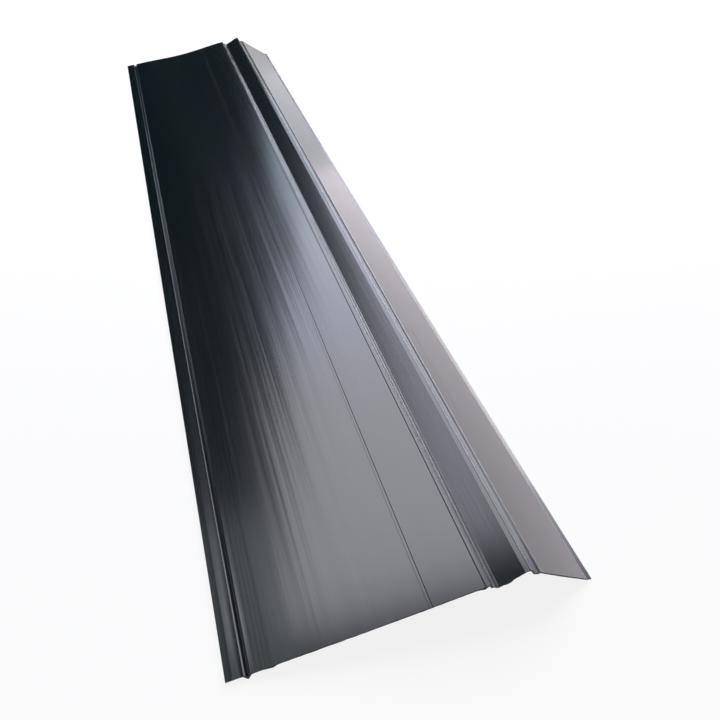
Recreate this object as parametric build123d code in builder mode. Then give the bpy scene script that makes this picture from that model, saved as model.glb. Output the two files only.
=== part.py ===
from build123d import *
from itertools import accumulate
from math import asin, atan2, cos, degrees, hypot, radians
import os

# Eaves tray: one length of rigid sheet, extruded to a folded section and sawn square.
# It lies over the feet of the rafters, hooks over the fascia and drips into the gutter.
# The section is drawn along its top face, from the upper edge to the drip edge. Widths
# run level, rises go up and drops go down. All sizes are in millimetres.
tray_length = 1500.0
sheet_thickness = 1.5

# Bends: the radius inside the fold of a tight bend, and the radius of a slack one
tight_radius = 0.5
slack_radius = 4.0

# Strip along the upper edge: nearly level at first, then falling to the water channel
strip_width = 15.0
brow_setback = 6.5
brow_drop = 0.1
brow_fall = 0.45
brow_radius = 40.0

# Water channel, steep on the side of the upper edge and easier on the other
channel_width = 7.4
channel_bottom_setback = 3.1
channel_depth = 3.85
channel_rise = 3.5

# Main panel, hinge score and front panel, each a little steeper than the one before
main_panel_width = 153.1
main_panel_rise = 0.6
hinge_score_depth = 0.7
front_panel_width = 51.5
front_panel_rise = 1.0

# Fine bending score along the front panel, measured back from its edge
front_score_setback = 4.3
front_score_depth = 0.45

# Step down from the front panel, with a narrow tread before the hollow
step_width = 1.5
step_drop = 4.1
tread_width = 1.9
tread_drop = 0.6
hollow_width = 3.5
hollow_drop = 3.0
hollow_radius = 1.0

# Ramp up to the ridge, which is rounded and falls a little to its steep front
ramp_width = 26.3
ramp_rise = 8.95
ridge_radius = 7.0
ridge_top_width = 4.3
ridge_top_drop = 1.3
ridge_front_width = 2.2
ridge_front_drop = 6.4

# Narrow gutter between the ridge's foot and the flange: its floor and its outer rim
ledge_width = 3.6
ledge_drop = 2.3
rim_width = 2.0
rim_rise = 0.5

# Drip flange, with a slight kick outwards along its drip edge
flange_width = 46.3
flange_drop = 41.35
kick_width = 4.0
kick_drop = 1.8

# A fold that stands proud on the top face has its tight side underneath.
crest_radius = sheet_thickness + tight_radius

# Legs of the top face in order: width, rise, and the radius of the bend at its far end
legs = [
    (brow_setback, -brow_drop, brow_radius),
    (strip_width - brow_setback, -brow_fall, crest_radius),
    (channel_bottom_setback, -channel_depth, tight_radius),
    (channel_width - channel_bottom_setback, channel_rise, crest_radius),
    (main_panel_width, main_panel_rise, 0),
    (front_panel_width, front_panel_rise, crest_radius),
    (step_width, -step_drop, tight_radius),
    (tread_width, -tread_drop, crest_radius),
    (hollow_width, -hollow_drop, hollow_radius),
    (ramp_width, ramp_rise, ridge_radius),
    (ridge_top_width, -ridge_top_drop, crest_radius),
    (ridge_front_width, -ridge_front_drop, tight_radius),
    (ledge_width, -ledge_drop, tight_radius),
    (rim_width, rim_rise, crest_radius),
    (flange_width, -flange_drop, slack_radius),
    (kick_width, -kick_drop, 0),
]
steps = [Vector(width, rise) for width, rise, radius in legs]
bends = [radius for width, rise, radius in legs][:-1]
corners = list(accumulate(steps, initial=Vector(0, 0)))
channel_bottom = corners[3]
hinge = corners[5]
front_edge = corners[6]
drip_edge = corners[-1]

# The drip edge ends in a full round, whose centre is half the thickness under its top face.
lip_radius = sheet_thickness / 2
kick_normal = steps[-1].normalized().rotate(Axis.Z, -90)
lip_centre = drip_edge + kick_normal * lip_radius

# The deep score is the hinge itself, and the fine one follows the front panel's slope.
front_score = front_edge - steps[5].normalized() * front_score_setback
scores = [(hinge, hinge_score_depth), (front_score, front_score_depth)]

# Laid on a level floor, the tray stands on its drip edge and on its channel or upper edge.
left_flank = steps[2].normalized()
right_flank = steps[3].normalized()
half_turn = left_flank.get_angle(right_flank) / 2
upward = (right_flank - left_flank).normalized()
channel_centre = channel_bottom + upward * (tight_radius / cos(radians(half_turn)))
upper_foot = corners[0] - Vector(0, sheet_thickness)


def lean(foot, foot_radius):
    """Turn in degrees that brings a rounded foot and the drip edge to one level."""
    across = lip_centre.X - foot.X
    down = foot.Y - lip_centre.Y
    turn = atan2(down, across) - asin((foot_radius - lip_radius) / hypot(across, down))
    return degrees(turn)


rest_angle = min(lean(upper_foot, 0), lean(channel_centre, crest_radius))

with BuildSketch() as section:
    with BuildLine():
        top_face = FilletPolyline(corners, radius=bends)
        offset(top_face, amount=sheet_thickness, side=Side.RIGHT, kind=Kind.INTERSECTION)
    make_face()
    with Locations(lip_centre):
        Circle(lip_radius)
    # Each score is a V with square flanks: a square on its corner, centred a depth above.
    for score, depth in scores:
        with Locations(score + Vector(0, depth)):
            Rectangle(depth * 8**0.5, depth * 8**0.5, 45, mode=Mode.SUBTRACT)

# Turned to its rest, the section is centred across, and its lowest point is on the floor.
at_rest = section.sketch.rotate(Axis.Z, rest_angle)
extent = at_rest.bounding_box()
near_end = Plane(
    origin=(-extent.center().X, -tray_length / 2, -extent.min.Y),
    x_dir=(1, 0, 0),
    z_dir=(0, -1, 0),
)

with BuildPart() as eaves_tray:
    with BuildSketch(near_end):
        add(at_rest)
    extrude(amount=-tray_length)

eaves_tray.part.label = "eaves_tray"
os.makedirs("parts", exist_ok=True)
export_step(eaves_tray.part, "parts/eaves_tray.step")
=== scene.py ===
from math import ceil, pi, radians, sin
import bpy
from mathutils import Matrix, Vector, noise


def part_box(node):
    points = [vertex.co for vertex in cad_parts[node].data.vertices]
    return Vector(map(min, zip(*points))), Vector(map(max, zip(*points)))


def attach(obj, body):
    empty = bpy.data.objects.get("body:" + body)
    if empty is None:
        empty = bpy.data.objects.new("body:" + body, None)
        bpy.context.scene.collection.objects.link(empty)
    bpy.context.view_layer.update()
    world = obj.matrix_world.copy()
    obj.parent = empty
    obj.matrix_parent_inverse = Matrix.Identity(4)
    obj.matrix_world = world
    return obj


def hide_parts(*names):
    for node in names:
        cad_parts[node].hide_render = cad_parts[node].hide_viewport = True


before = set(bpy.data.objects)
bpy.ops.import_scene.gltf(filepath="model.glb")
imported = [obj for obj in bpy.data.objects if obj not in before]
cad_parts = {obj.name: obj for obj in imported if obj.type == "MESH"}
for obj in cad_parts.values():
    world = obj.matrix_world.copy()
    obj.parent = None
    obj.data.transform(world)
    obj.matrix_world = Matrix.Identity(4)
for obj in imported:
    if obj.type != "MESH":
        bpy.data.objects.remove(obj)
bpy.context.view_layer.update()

# Eaves tray
# One length of rigid PVC, black right through, extruded to its folded section and sawn to
# length. Sheet this thin sags a little between its folds and bows in along its drip edge.
cad_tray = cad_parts["eaves_tray"]
low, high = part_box("eaves_tray")

# Faces across the section and along the tray, the narrow face kept beside each bend, and the
# shortest edge of the section that is divided
face_width = 0.004
face_length = 0.0125
bend_guard = 0.0003
shortest_divided = 4 * bend_guard

# The angle in degrees from which a bend shows as an edge, how squarely an end face looks along
# the tray, and the digits that tell two corners apart
sharp_bend = 35
end_facing = 0.5
mesh_digits = 6

# Sag of the panels between the water channel and the front edge, at the near and far end
channel_x = -0.141
front_x = 0.061
near_sag = 0.0003
far_sag = 0.0038

# Pinch of the water channel, whose right side has closed up a little in cooling, and how far
# its bottom has come up at the near end
channel_floor_x = -0.145
crest_x = -0.1413
channel_pinch = 0.0019
pinch_run = 0.015
panel_slope = 0.15
channel_reach = 0.0042
near_opening = 0.0007
opening_run = 0.15

# Bends of the channel, crisper than the solid's, and the hinge score, half the solid's size:
# each as (x, z), with how far the outline is drawn in to it. A hairline runs beside the score.
bank, bank_share = Vector((-0.14864, 0.00463)), 0.8
crest, crest_share = Vector((-0.141274, 0.0054)), 0.8
channel_foot, foot_share = Vector((-0.144996, 0.001292)), 0.8
hinge, hinge_share = Vector((0.00999, 0.02911)), 0.5
bend_reach = 0.00095
hairline_back = 0.0024
hairline_depth = 0.00015

# Waves that the cooling sheet keeps along the tray
wave_height = 0.00012
wave_length = 0.31
wave_skew = 9
slow_wave_length = 2.7 * wave_length
slow_wave_start = 5

# Dish of the ramp, and the narrow flat that the die leaves along the crest of the ridge
hollow_x = 0.0687
ridge_x = 0.0934
ramp_dish = 0.00022
flat_from = 0.0915
flat_to = 0.0955
flat_low = 0.0425

# Bow of the flange, which is pulled in most at mid-length, and the dish across it
flange_x = 0.1
flange_bow = 0.0025
flange_top_x = 0.1068
lip_x = 0.1588
flange_dish = 0.00042

# Wander of the saw at both ends, its bites to the metre, the first ring of corners behind it,
# and the crumbs it left on the lower edge of the near end
saw_wander = 0.0003
saw_margin = 0.0012
saw_bites = 300
behind_saw = 3 * saw_margin
crumb_places = (-0.1455, -0.1265, 0.055, 0.078)
crumb_width = 0.004
crumb_drop = 0.0007


def section_outline(mesh):
    """The outline of an extruded mesh's near end, as (x, z) points in order round it."""
    neighbours = {}
    for polygon in mesh.polygons:
        if abs(polygon.normal.y) > end_facing:
            continue
        for ends in polygon.edge_keys:
            a, b = [mesh.vertices[i].co for i in ends]
            if max(a.y, b.y) > low.y + face_length:
                continue
            a, b = [(round(p.x, mesh_digits), round(p.z, mesh_digits)) for p in (a, b)]
            neighbours.setdefault(a, set()).add(b)
            neighbours.setdefault(b, set()).add(a)
    outline = [min(neighbours)]
    following = max(neighbours[outline[0]])
    while following != outline[0]:
        outline.append(following)
        (following,) = neighbours[following] - {outline[-2]}
    return [Vector(point) for point in outline]


def crisp(point):
    """A point of the outline, drawn in towards the bend or score that it belongs to."""
    channel = ((bank, bank_share), (channel_foot, foot_share), (crest, crest_share))
    for bend, drawn_in in (*channel, (hinge, hinge_share)):
        if (point - bend).length < bend_reach:
            return point.lerp(bend, drawn_in)
    return point


def divided(outline):
    """The outline with points added to its long edges, evenly and close to both ends."""
    points = []
    for start, end in zip(outline, outline[1:] + outline[:1]):
        length = (end - start).length
        shares = [0]
        if length > shortest_divided:
            count = ceil(length / face_width)
            guard = bend_guard / length
            shares += [guard, *(i / count for i in range(1, count)), 1 - guard]
        points += [start.lerp(end, share) for share in shares]
    return points


def travelled(place, start, end):
    """How far a place lies from a start to an end, held between 0 and 1."""
    return min(max((place - start) / (end - start), 0), 1)


def dished(share):
    """A shallow dish between two bends: 0 at both of them and 1 midway."""
    return 4 * share * (1 - share)


def settled(x, y, z):
    """Where a place on the straight extrusion lies in the sheet that has sagged and bowed."""
    along = (y - low.y) / (high.y - low.y)
    beyond = max((x - flange_x) / (high.x - flange_x), 0)
    sag = near_sag + (far_sag - near_sag) * along**2
    quick_wave = sin(2 * pi * y / wave_length + wave_skew * x)
    wave = quick_wave * sin(2 * pi * y / slow_wave_length + slow_wave_start)
    z -= sin(pi * travelled(x, channel_x, front_x)) ** 2 * (sag + wave_height * (1 + wave))
    z -= dished(travelled(x, hollow_x, ridge_x)) * ramp_dish
    z -= dished(travelled(x, flange_top_x, lip_x)) * flange_dish
    x -= flange_bow * dished(along) * beyond
    opened = near_opening * max(1 - along / opening_run, 0)
    z += opened * max(1 - abs(x - channel_floor_x) / channel_reach, 0)
    up_flank = (x - channel_floor_x) / (crest_x - channel_floor_x)
    pinch = channel_pinch * max(min(up_flank, 1 - (x - crest_x) / pinch_run), 0)
    return x - pinch, y, max(z - pinch * panel_slope, low.z)


def sawn(x, y, z, lower):
    """Where a corner of an end face lies, with the saw's wander and its crumbs."""
    inward = saw_margin + saw_wander * noise.noise(Vector((x, y, z)) * saw_bites)
    if y > 0:
        return x, y - inward, z
    crumb = max(1 - abs(x - place) / crumb_width for place in crumb_places)
    if lower and crumb > 0:
        return x, y + inward * (1 - crumb), max(z - crumb_drop * crumb, low.z)
    return x, y + inward, z


corners = section_outline(cad_tray.data)
corners = [p for p in corners if not (flat_from < p.x < flat_to and p.y > flat_low)]
corners = [crisp(point) for point in corners]
rim = min(i for i, point in enumerate(corners) if (point - hinge).length < bend_reach)
uphill = (corners[rim] - corners[rim - 1]).normalized()
hairline = corners[rim] - hairline_back * uphill
into_sheet = Vector((uphill.y, -uphill.x))
corners[rim:rim] = [
    hairline - hairline_depth * uphill,
    hairline + hairline_depth * into_sheet,
    hairline + hairline_depth * uphill,
]
outline = divided(corners)
size = len(outline)
steps = ceil((high.y - low.y) / face_length)
stations = [low.y + (high.y - low.y) * step / steps for step in range(steps + 1)]
stations.insert(1, low.y + behind_saw)
vertices = [settled(x, y, z) for y in stations for x, z in outline]
for i in range(size):
    lower = outline[(i + 1) % size].x < outline[i - 1].x
    for corner in (i, i - size):
        vertices[corner] = sawn(*vertices[corner], lower)

near_face = tuple(reversed(range(size)))
far_face = tuple(range(len(vertices) - size, len(vertices)))
faces = [near_face, far_face]
for ring in range(len(stations) - 1):
    for i in range(size):
        a, b = ring * size + i, ring * size + (i + 1) % size
        faces.append((a, b, b + size, a + size))

tray_mesh = bpy.data.meshes.new("eaves_tray_sheet")
tray_mesh.from_pydata(vertices, [], faces)
tray_mesh.shade_smooth()
tray_mesh.set_sharp_from_angle(angle=radians(sharp_bend))
tray = bpy.data.objects.new("eaves_tray_sheet", tray_mesh)
bpy.context.scene.collection.objects.link(tray)
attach(tray, "root")
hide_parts("eaves_tray")


def linear(hex_colour):
    """An sRGB hex colour as linear red, green, blue and full alpha."""
    values = [int(hex_colour[i : i + 2], 16) / 255 for i in (1, 3, 5)]
    return [v / 12.92 if v <= 0.04045 else ((v + 0.055) / 1.055) ** 2.4 for v in values] + [1.0]


def add_node(material, kind, links=(), **settings):
    """One node with its settings, fed by (input, source node, output) links."""
    node = material.node_tree.nodes.new(kind)
    for name, value in settings.items():
        if name in node.inputs:
            node.inputs[name].default_value = value
        else:
            setattr(node, name, value)
    for name, source, output in links:
        material.node_tree.links.new(source.outputs[output], node.inputs[name])
    return node


# Extruded rigid PVC, dyed black right through: a satin skin that mirrors softly, with fine
# lines and a slow ripple that the die draws along the whole length and that wander a little.
pvc_ior = 1.53

# The finest real lines lie closer together and wouldn't show, so they are drawn 1.1 mm apart
die_line_width = 0.0011
ripple_width = 0.0055
swell_width = 0.017
line_run = 0.7
line_drift = 0.004
drift_run = 0.28
line_height = 0.000012
ripple_height = 0.00007
swell_height = 0.00013

# The relief is calmer on the front panel and on the flange, which show fewer streaks
calm_from, calm_to = 0.004, 0.016
calm_relief = 0.38
flange_from, flange_to = 0.095, 0.102
flange_relief = 0.4

# Roughness between the die's lines and on them, over the range that the noise mostly spans
noise_low, noise_high = 0.3, 0.7
smooth_skin = 0.15
dragged_skin = 0.19

# The PVC's own colour, and a slightly lighter, greener one mixed in along the ripple as painted sheen
# streaks
skin_colour = "#000c11"
sheen_streak_colour = "#030e10"

pvc = bpy.data.materials.new("extruded black PVC")
pvc.use_nodes = True
shader = pvc.node_tree.nodes["Principled BSDF"]
shader.inputs["IOR"].default_value = pvc_ior
place = add_node(pvc, "ShaderNodeTexCoord")
scale = (0, 1 / drift_run, 0)
lengthwise = add_node(pvc, "ShaderNodeMapping", [("Vector", place, "Object")], Scale=scale)
drift = add_node(pvc, "ShaderNodeTexNoise", [("Vector", lengthwise, "Vector")], Scale=1.0, Detail=1.0)
wandering = add_node(pvc, "ShaderNodeVectorMath", operation="MULTIPLY_ADD")
wandering.inputs[1].default_value = (line_drift, 0, line_drift)
pvc.node_tree.links.new(drift.outputs["Color"], wandering.inputs[0])
pvc.node_tree.links.new(place.outputs["Object"], wandering.inputs[2])

drawn = []
for width, detail in ((die_line_width, 2.0), (ripple_width, 1.0), (swell_width, 0.0)):
    scale = (1 / width, 1 / line_run, 1 / width)
    stretched = add_node(pvc, "ShaderNodeMapping", [("Vector", wandering, "Vector")], Scale=scale)
    links = [("Vector", stretched, "Vector")]
    drawn.append(add_node(pvc, "ShaderNodeTexNoise", links, Scale=1.0, Detail=detail))
lines, ripple, swell = drawn

across = add_node(pvc, "ShaderNodeSeparateXYZ", [("Vector", place, "Object")])
front_calm = add_node(
    pvc, "ShaderNodeMapRange", [("Value", across, "X")],
    **{"From Min": calm_from, "From Max": calm_to, "To Min": 1.0, "To Max": calm_relief},
)
flange_calm = add_node(
    pvc, "ShaderNodeMapRange", [("Value", across, "X")],
    **{"From Min": flange_from, "From Max": flange_to, "To Min": 1.0, "To Max": flange_relief},
)
calm = add_node(pvc, "ShaderNodeMath", [("Value", front_calm, "Result")], operation="MULTIPLY")
pvc.node_tree.links.new(flange_calm.outputs["Result"], calm.inputs[1])

relief = None
for noise_node, height in ((lines, line_height), (ripple, ripple_height), (swell, swell_height)):
    links = [("Height", noise_node, "Fac"), ("Strength", calm, "Value")]
    if relief:
        links.append(("Normal", relief, "Normal"))
    relief = add_node(pvc, "ShaderNodeBump", links, Distance=height)
pvc.node_tree.links.new(relief.outputs["Normal"], shader.inputs["Normal"])

gloss = add_node(
    pvc, "ShaderNodeMapRange", [("Value", lines, "Fac")],
    **{"From Min": noise_low, "From Max": noise_high, "To Min": smooth_skin, "To Max": dragged_skin},
)
pvc.node_tree.links.new(gloss.outputs["Result"], shader.inputs["Roughness"])
# Painted sheen: along the ripple the base colour turns a little lighter and greener, standing in for
# the streaks of reflection along the die lines
painted_streaks = add_node(
    pvc, "ShaderNodeMixRGB", [("Fac", ripple, "Fac")],
    Color1=linear(skin_colour), Color2=linear(sheen_streak_colour),
)
pvc.node_tree.links.new(painted_streaks.outputs["Color"], shader.inputs["Base Color"])
tray_mesh.materials.append(pvc)

# The sawn ends of the same PVC: dull and a little greyer, with the scratches of the saw teeth
# running down across the sheet.
tooth_pitch = 0.0008
tooth_drag = 0.2
tooth_height = 0.00004
sawn_colour = "#16191a"
chalky_colour = "#2b2d2c"
dull_skin = 0.6

ends = bpy.data.materials.new("sawn black PVC")
ends.use_nodes = True
shader = ends.node_tree.nodes["Principled BSDF"]
shader.inputs["IOR"].default_value = pvc_ior
shader.inputs["Roughness"].default_value = dull_skin
place = add_node(ends, "ShaderNodeTexCoord")
scale = (1 / tooth_pitch, 1 / tooth_pitch, tooth_drag / tooth_pitch)
upright = add_node(ends, "ShaderNodeMapping", [("Vector", place, "Object")], Scale=scale)
teeth = add_node(ends, "ShaderNodeTexNoise", [("Vector", upright, "Vector")], Scale=1.0, Detail=3.0)
scored = add_node(ends, "ShaderNodeBump", [("Height", teeth, "Fac")], Distance=tooth_height)
ends.node_tree.links.new(scored.outputs["Normal"], shader.inputs["Normal"])
chalk = add_node(
    ends, "ShaderNodeMixRGB", [("Fac", teeth, "Fac")],
    Color1=linear(sawn_colour), Color2=linear(chalky_colour),
)
ends.node_tree.links.new(chalk.outputs["Color"], shader.inputs["Base Color"])
tray_mesh.materials.append(ends)
near_end, far_end = tray_mesh.polygons[:2]
near_end.material_index = far_end.material_index = len(tray_mesh.materials) - 1

# Floor
# A white studio floor with no edge in sight, on which the tray lies as it would unheld. Close
# to the tray it is partly matt, so that the shadow stays, and further out it is plain white.
floor_size = 14.0
matt_white = "#f3f3f3"
white_nearby = 0.85
shadow_reach = 0.6
white_reach = 2.0

floor_mesh = bpy.data.meshes.new("floor")
half = floor_size / 2
floor_corners = [(-half, -half, 0), (half, -half, 0), (half, half, 0), (-half, half, 0)]
floor_mesh.from_pydata(floor_corners, [], [(0, 1, 2, 3)])
floor = bpy.data.objects.new("floor", floor_mesh)
bpy.context.scene.collection.objects.link(floor)

white = bpy.data.materials.new("white studio floor")
white.use_nodes = True
white.node_tree.nodes.clear()
place = add_node(white, "ShaderNodeNewGeometry")
reach = add_node(white, "ShaderNodeVectorMath", [("Vector", place, "Position")], operation="LENGTH")
whiteness = add_node(
    white, "ShaderNodeMapRange", [("Value", reach, "Value")],
    **{"From Min": shadow_reach, "From Max": white_reach, "To Min": white_nearby, "To Max": 1.0},
)
ray = add_node(white, "ShaderNodeLightPath")
seen = add_node(white, "ShaderNodeMath", operation="MAXIMUM")
seen_or_through = add_node(white, "ShaderNodeMath", operation="MAXIMUM")
white.node_tree.links.new(ray.outputs["Is Camera Ray"], seen.inputs[0])
white.node_tree.links.new(ray.outputs["Is Glossy Ray"], seen.inputs[1])
white.node_tree.links.new(seen.outputs[0], seen_or_through.inputs[0])
white.node_tree.links.new(ray.outputs["Is Transmission Ray"], seen_or_through.inputs[1])
share = add_node(white, "ShaderNodeMath", operation="MULTIPLY")
white.node_tree.links.new(whiteness.outputs["Result"], share.inputs[0])
white.node_tree.links.new(seen_or_through.outputs[0], share.inputs[1])
matt = add_node(white, "ShaderNodeBsdfDiffuse", Color=linear(matt_white))
glow = add_node(white, "ShaderNodeEmission", Strength=1.0)
mix = add_node(white, "ShaderNodeMixShader")
white.node_tree.links.new(share.outputs[0], mix.inputs[0])
white.node_tree.links.new(matt.outputs[0], mix.inputs[1])
white.node_tree.links.new(glow.outputs[0], mix.inputs[2])
add_node(white, "ShaderNodeOutputMaterial", [("Surface", mix, "Shader")])
floor_mesh.materials.append(white)

# World
# A white background to the camera. What is polished sees white only low down, where the floor
# ends, and a dark studio ceiling above it.
ceiling_light = 0.002
horizon_low = 0.06
horizon_high = 0.16
world = bpy.data.worlds.new("studio")
bpy.context.scene.world = world
world.use_nodes = True
background = world.node_tree.nodes["Background"]
ray = add_node(world, "ShaderNodeLightPath")
look = add_node(world, "ShaderNodeTexCoord")
upward = add_node(world, "ShaderNodeSeparateXYZ", [("Vector", look, "Generated")])
horizon = add_node(
    world, "ShaderNodeMapRange", [("Value", upward, "Z")],
    **{"From Min": horizon_low, "From Max": horizon_high, "To Min": 1.0, "To Max": 0.0},
)
polished = add_node(world, "ShaderNodeMath", operation="MAXIMUM")
world.node_tree.links.new(ray.outputs["Is Glossy Ray"], polished.inputs[0])
world.node_tree.links.new(ray.outputs["Is Transmission Ray"], polished.inputs[1])
low_white = add_node(world, "ShaderNodeMath", operation="MULTIPLY")
world.node_tree.links.new(polished.outputs[0], low_white.inputs[0])
world.node_tree.links.new(horizon.outputs["Result"], low_white.inputs[1])
whole = add_node(world, "ShaderNodeMath", operation="MAXIMUM")
world.node_tree.links.new(ray.outputs["Is Camera Ray"], whole.inputs[0])
world.node_tree.links.new(low_white.outputs[0], whole.inputs[1])
lit = add_node(world, "ShaderNodeMath", operation="MAXIMUM")
world.node_tree.links.new(whole.outputs[0], lit.inputs[0])
lit.inputs[1].default_value = ceiling_light
background.inputs["Color"].default_value = (1, 1, 1, 1)
world.node_tree.links.new(lit.outputs[0], background.inputs["Strength"])

# Softboxes
# Lamps behind diffusers. The long key overhead gives the panels their sheen, those on the left
# light the ramp, and those on the right the ledge, the flange and its edge.


def softbox(name, middle, size, turn, radiance, colour):
    """A rectangular lamp; turn is its rotation in degrees, from facing straight down."""
    lamp = bpy.data.lights.new(name, "AREA")
    lamp.shape = "RECTANGLE"
    lamp.size, lamp.size_y = size
    lamp.color = linear(colour)[:3]
    lamp.energy = radiance * pi * size[0] * size[1]
    box = bpy.data.objects.new(name, lamp)
    box.location = middle
    box.rotation_euler = [radians(angle) for angle in turn]
    bpy.context.scene.collection.objects.link(box)


hung = 2.2
beside = 1.8
softbox("key_near", (0.168, 1.139, hung), (1.35, 1.60), (0, 0, -11.7), 6.3, "#f4f4ff")
softbox("key_far", (0.488, 2.684, hung), (1.35, 1.56), (0, 0, -11.7), 7.0, "#e6ebff")
softbox("key_tail", (0.414, 4.597, hung), (0.76, 2.38), (0, 0, -11.5), 3.4, "#dfefff")
softbox("far_strip", (1.485, 5.963, hung), (0.67, 3.30), (0, 0, 2.1), 6.8, "#e5eeff")
softbox("left_strip", (-1.479, 2.906, hung), (0.34, 4.43), (0, 0, 5.5), 6.1, "#eeefff")
softbox("far_left", (-2.608, 4.615, hung), (1.27, 3.15), (0, 0, -13.9), 9.1, "#c1eaff")
softbox("near_left", (-0.743, 0.590, hung), (0.20, 1.20), (0, 0, -1.5), 1.8, "#f1ffff")
softbox("right_band", (beside, 3.511, 1.481), (6.57, 0.21), (90, 0, 84.3), 15.1, "#fcfaff")
softbox("near_right", (beside, 1.318, 1.354), (2.16, 1.80), (90, 0, 137.5), 3.1, "#eff2ff")
softbox("right_wall", (beside, 1.858, 0.935), (4.48, 1.87), (90, 0, 96.5), 1.6, "#e9e6ff")
softbox("right_foot", (beside, 0.697, 0.092), (3.17, 0.12), (90, 0, 104.1), 10.8, "#ffeff6")
softbox("right_edge", (beside, 1.311, 1.036), (1.35, 0.10), (90, 0, 103.2), 15.4, "#fff7e6")

# Camera
# It stands a little before the near end, in line with the water channel, and looks down along
# the tray. Its place, turn in degrees and focal length were fitted to the tray's straight edges.
camera_place = (-0.1380, -1.0278, 0.5621)
camera_turn = (49.314, -0.161, -16.778)
camera_data = bpy.data.cameras.new("camera")
camera_data.sensor_width = 36
camera_data.lens = 35.55
camera = bpy.data.objects.new("camera", camera_data)
camera.location = camera_place
camera.rotation_euler = [radians(angle) for angle in camera_turn]
bpy.context.scene.collection.objects.link(camera)
bpy.context.scene.camera = camera
bpy.context.scene.view_settings.view_transform = "Standard"
